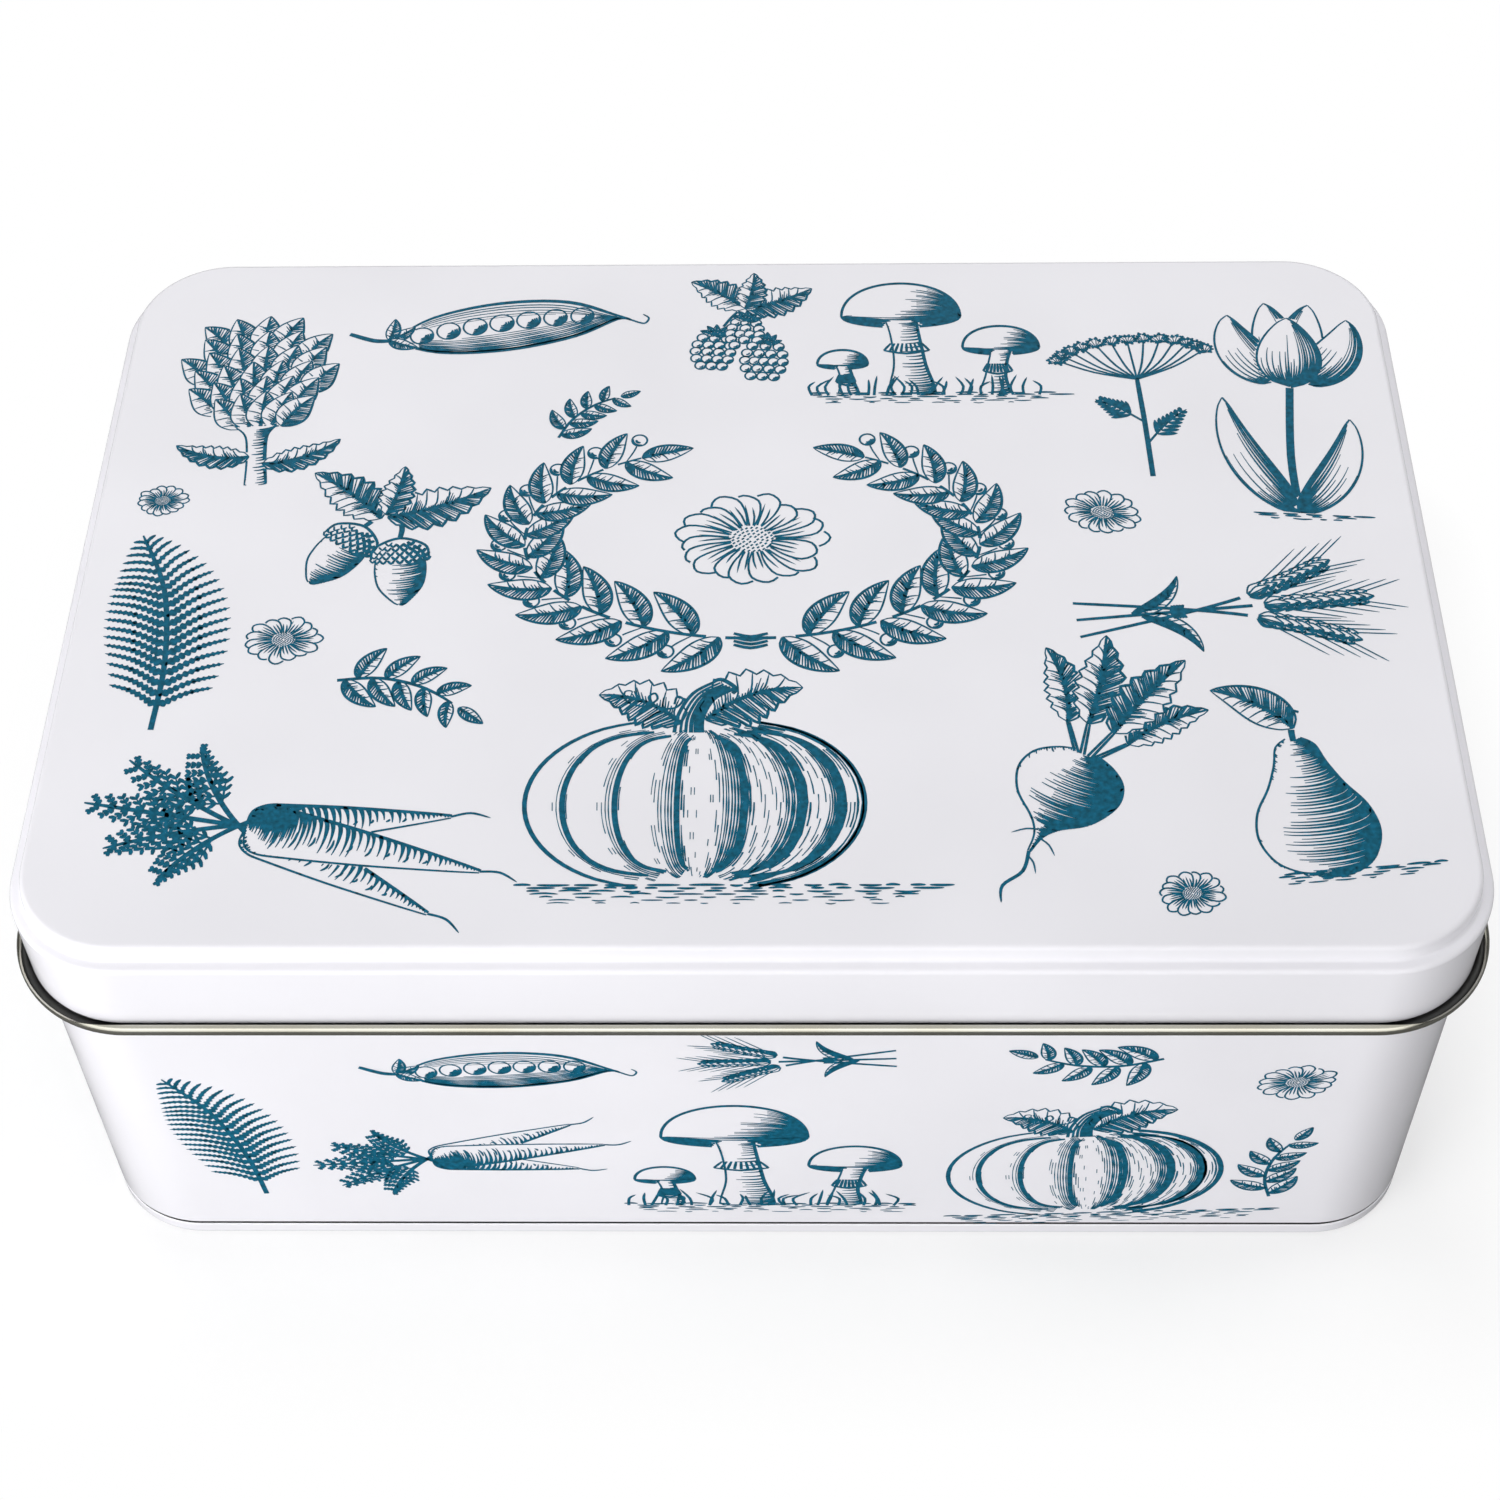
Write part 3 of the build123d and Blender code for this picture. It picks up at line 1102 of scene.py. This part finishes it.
def artichoke():
    for row, count in enumerate((4, 5, 6, 6, 6, 5)):
        half = 11.5 * sin(pi * (0.2 + 0.125 * row)) - 0.6
        for k in range(count):
            s = -1 + 2 * (k + 0.5 * (row % 2) + 0.25) / (count - 0.2)
            s = max(-1.02, min(1.02, s))
            leaf((half * s * 0.86, 8 - row * 4), quarter - s * 0.72, 9.4, 5.8, s * -0.5)
    round_form([(-26, 1.9), (-20, 1.6), (-14, 1.9), (-11.5, 3.6)], 0.6, 0.36, 0.2, 1.0, 0.36)
    leaf((1.2, -21), 0.35, 15, 5.2, 0.8, teeth=1)
    leaf((-1.2, -19), 2.8, 14, 5, -0.8, -1, teeth=1)


def wreath(wide, tall):
    """An oval of two leafy branches, crossed at the foot and open at the top."""
    sweep = [-quarter - 0.1 + (pi - 0.22) * i / 14 for i in range(15)]
    for flip in (1, -1):
        frames[-1] = (*frames[-1][:5], flip)
        path = [(wide / 2 * cos(a), tall / 2 * sin(a)) for a in sweep]
        sprig(path, 22, 10.5, 4.3, 0.28, True, 0.75)
    for k in range(4):
        y = 0.3 - tall / 2 - 0.7 * k
        stroke([(-2.4, y + 0.6), (0, y), (2.4, y + 0.6)], 0.42, 0.8, 0.8, 3)


# Each motif with its x, y, angle and size on the sheet, and what else it takes
lid_motifs = (
    (wreath, 0, 6, 0, 1, 66, 38), (daisy, 0, 6, 0, 1, 11, 19),
    (artichoke, -76, 39, 6, 0.84), (peas, -39, 51, 10, 0.88),
    (berries, -2, 48, -4, 0.76), (mushrooms, 24, 36, 0, 0.84),
    (tulip, 81, 34, -4, 0.84), (umbel, 58.5, 36, 6, -0.68),
    (fern, -84, -11, 5, 0.8), (acorns, -55, 7, -12, 0.84),
    (wheat, 63, -8, -84, 0.66), (carrots, -67, -46, 78, 0.88),
    (pumpkin, -7, -42, 0, 1), (radish, 43, -39, -28, 0.84),
    (pear, 75, -42, 6, 0.86), (small_sprig, -48, -22, -20, 0.95),
    (small_sprig, -25, 32, 40, 0.66), (daisy, -66, -13, 0, 0.6),
    (daisy, 51, 11, -15, 0.6), (daisy, 58, -57, 10, 0.5),
    (daisy, -87, 14, 0, 0.42),
)
front_motifs = (
    (carrots, -46, 22, 98, -0.68), (mushrooms, -1, 9, 0, 0.95),
    (wheat, 9, 48.5, 93, 0.42), (pumpkin, 48, 18, 3, 0.86),
    (peas, -34, 46, 4, 0.72), (fern, -75, 28, 12, 0.72),
    (daisy, 75, 43, 8, 0.6), (small_sprig, 47, 48, 175, 0.9),
    (small_sprig, 75, 20, 80, 0.85),
)
# The photograph doesn't show the other three walls. A tin's wall is printed flat, all round
back_motifs = (
    (radish, -71, 28, 0, 0.74), (peas, -36, 47, 4, 0.78),
    (mushrooms, -41, 8.5, 0, 0.84), (fern, -11, 22, 8, 0.6),
    (tulip, 14, 30, 0, 0.8), (carrots, 41, 47, 98, 0.56),
    (pear, 38, 18.5, 0, 0.76), (umbel, 67, 26, -6, 0.78),
    (daisy, -8, 46, 15, 0.42),
)
left_motifs = (
    (artichoke, -33, 27, 0, 0.8), (acorns, 2, 24, -6, 1),
    (tulip, 33, 31, 5, 0.8), (small_sprig, 3, 48, 180, 0.8),
)
right_motifs = (
    (umbel, -30, 28, 0, -0.8), (pumpkin, 2, 22, 0, 0.74),
    (radish, 36, 28, 0, -0.76), (daisy, 3, 48, 0, 0.62),
)


def new_curve(name, lines):
    """A curve with one straight-sided spline for each line of (x, y, z, width)."""
    shape = bpy.data.curves.new(name, "CURVE")
    shape.dimensions = "3D"
    for line in lines:
        spline = shape.splines.new("POLY")
        spline.points.add(len(line) - 1)
        for point, (x, y, z, width) in zip(spline.points, line):
            point.co = (x * MM, y * MM, z * MM, 1)
            point.radius = width
    piece = bpy.data.objects.new(name, shape)
    bpy.context.collection.objects.link(piece)
    return piece


def printed(name, motifs, shelf, turn, place):
    """The motifs as flat ribbons of ink, drawn by a straight nib and laid on the tin at place."""
    strokes.clear()
    for motif, x, y, angle, size, *more in motifs:
        begin(x, y, angle, size)
        motif(*more)
    layers, least_step = 12, 0.03
    lines = []
    for index, ((x, y, width), *others) in enumerate(strokes):
        # Strokes that cross lie in layers of their own, so that no two faces share a plane
        level = ink_stand * (0.3 + 0.65 * (index % layers) / layers)
        line = [(x, y, level, width)]
        for x, y, width in others:
            if dist((x, y), line[-1][:2]) > least_step:
                line.append((x, y, level, width))
        if len(line) > 1:
            lines.append(line)
    deselect()
    nib = new_curve("nib", [[(-0.5, 0, 0, 1), (0.5, 0, 0, 1)]])
    piece = new_curve(name, lines)
    piece.data.twist_mode = "Z_UP"
    piece.data.bevel_mode = "OBJECT"
    piece.data.bevel_object = nib
    take(piece)
    bpy.ops.object.convert(target="MESH")
    piece = bpy.context.object
    bpy.data.objects.remove(nib)
    edit(piece)
    pick(piece, "faces", lambda f: f.normal.z < 0)
    bpy.ops.mesh.flip_normals()
    leave()
    bpy.ops.object.shade_flat()
    piece.data.materials.clear()
    piece.data.materials.append(ink)
    # One flat map, as the plate has it; the walls' prints share a plate, each on a shelf of its own
    piece.data.uv_layers.remove(piece.data.uv_layers[0])
    plate = piece.data.uv_layers.new(name="OFBake")
    span = 2.1 * half_x * MM
    for loop in piece.data.loops:
        at = piece.data.vertices[loop.vertex_index].co
        plate.data[loop.index].uv = (0.5 + at.x / span, shelf + at.y / span)
    piece.rotation_euler = turn
    piece.location = Vector(place) * MM
    bpy.ops.object.transform_apply()
    return piece


shelf_height, shelf_margin = 0.25, 0.012
lid_print = printed("lid_print", lid_motifs, 2 * shelf_height, (0, 0, 0), (0, 0, lid_top))
walls = (
    (front_motifs, 0, (0, -half_y, 0)),
    (back_motifs, 2 * quarter, (0, half_y, 0)),
    (left_motifs, -quarter, (-half_x, 0, 0)),
    (right_motifs, quarter, (half_x, 0, 0)),
)
for number, (motifs, turn, place) in enumerate(walls):
    shelf = number * shelf_height - shelf_margin
    piece = printed("wall_print", motifs, shelf, (quarter, 0, turn), place)
    if number == 0:
        wall_print = piece
    else:
        take(wall_print)
        bpy.ops.object.join()
for piece, body in ((lid_print, "lid"), (wall_print, "tin")):
    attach(piece, body)


# Camera, solved from the photograph's edges: where it stands, and its aim, tilt and lean
bpy.ops.object.camera_add()
camera = bpy.context.object
camera.data.lens = 65.505
camera.data.sensor_width = 36
stand = Matrix.Translation(Vector((7.164, -263.731, 365.393)) * MM)
for angle, axis in ((1.753, "Z"), (90 - 51.588, "X"), (-1.485, "Z")):
    stand = stand @ Matrix.Rotation(radians(angle), 4, axis)
camera.matrix_world = stand
bpy.context.scene.camera = camera
bpy.context.scene.view_settings.view_transform = "Standard"


# Floor, world and lamps
deselect()
bpy.ops.mesh.primitive_plane_add(size=4)
floor = bpy.context.object
floor.name = "floor"
paper, tree, shader, noise = new_material("studio paper")
path = node(tree, "LightPath").outputs
seen = path["Is Camera Ray"]
# The paper is white to the camera. The tin gets less light back from it, and the metal mirrors it
# darker, as it does the unlit room beyond a small sweep of paper
thrown_back, mirrored, white_paper = 0.58, 0.14, 0.98
unseen = ramp(path["Is Glossy Ray"], thrown_back, mirrored, 0, 1)
feed(shader, {"Base Color": ramp(seen, unseen, white_paper, 0, 1), "Roughness": 0.9})
# Away from the tin it is plain white to the camera; near the tin it keeps the shadow
near_tin, clear_of_tin = -0.02, 0.03
away_by = node(tree, "TexCoord").outputs["Object"]
outline = (lid_high.x * MM, lid_high.y * MM, 0)
for step, other in (("ABSOLUTE", (0, 0, 0)), ("SUBTRACT", outline), ("MAXIMUM", (0, 0, 0))):
    away_by = node(tree, "VectorMath", {0: away_by, 1: other}, operation=step).outputs["Vector"]
away_by = node(tree, "VectorMath", {0: away_by}, operation="LENGTH").outputs["Value"]
clear = ramp(away_by, 0, 1, near_tin, clear_of_tin)
plain = node(tree, "Math", {0: clear, 1: seen}, operation="MULTIPLY").outputs["Value"]
glow = node(tree, "Emission", {"Color": colour("#FFFFFF"), "Strength": 1.0}).outputs["Emission"]
blend = node(tree, "MixShader", {0: plain, 1: shader.outputs["BSDF"], 2: glow})
feed(tree.nodes["Material Output"], {"Surface": blend.outputs["Shader"]})
floor.data.materials.append(paper)

world = bpy.data.worlds.new("studio")
bpy.context.scene.world = world
world.use_nodes = True
tree = world.node_tree
# A dim room: dark at the horizon and pale overhead, which gives metal and folds their dark edges.
# Metal mirrors a paler ceiling, and the camera itself sees plain white
horizon_level, ceiling_level, mirrored_ceiling = 0.024, 0.312, 0.75
direction = node(tree, "TexCoord").outputs["Generated"]
rise = node(tree, "SeparateXYZ", {"Vector": direction}).outputs["Z"]
path = node(tree, "LightPath").outputs
ceiling = ramp(path["Is Glossy Ray"], ceiling_level, mirrored_ceiling, 0, 1)
room = ramp(rise, horizon_level, ceiling, 0.12, 0.6)
strength = ramp(path["Is Camera Ray"], room, 1.0, 0, 1)
feed(tree.nodes["Background"], {"Strength": strength, "Color": colour("#FFFFFF")})


def soft_box(name, place, size, power, mirrored=True):
    """A rectangular soft box at place, in metres, that looks at the tin."""
    bpy.ops.object.light_add(type="AREA", location=place)
    lamp = bpy.context.object
    lamp.name = name
    lamp.data.shape = "RECTANGLE"
    lamp.data.size, lamp.data.size_y = size
    lamp.data.energy = power
    aim = Vector((0, 0, 0.04)) - Vector(place)
    lamp.rotation_euler = aim.to_track_quat("-Z", "Y").to_euler()
    lamp.visible_glossy = mirrored


# Levels were solved from the photograph's tones on the lid, the skirt and the front wall
soft_box("top", (0, -0.1, 0.8), (0.35, 0.25), 0.69, False)
soft_box("key", (-0.45, -0.45, 0.25), (0.4, 0.4), 2.6, False)
soft_box("front", (-0.1, -0.9, 0.45), (1.7, 0.85), 5.4)
soft_box("back", (0, 0.9, 0.9), (1.2, 0.5), 1.76)
# These two light the side and the back, which the photograph doesn't show
soft_box("rear_right", (0.8, 0.6, 0.35), (0.8, 0.5), 4.5, False)
soft_box("rear_left", (-0.6, 0.8, 0.35), (0.8, 0.5), 3, False)
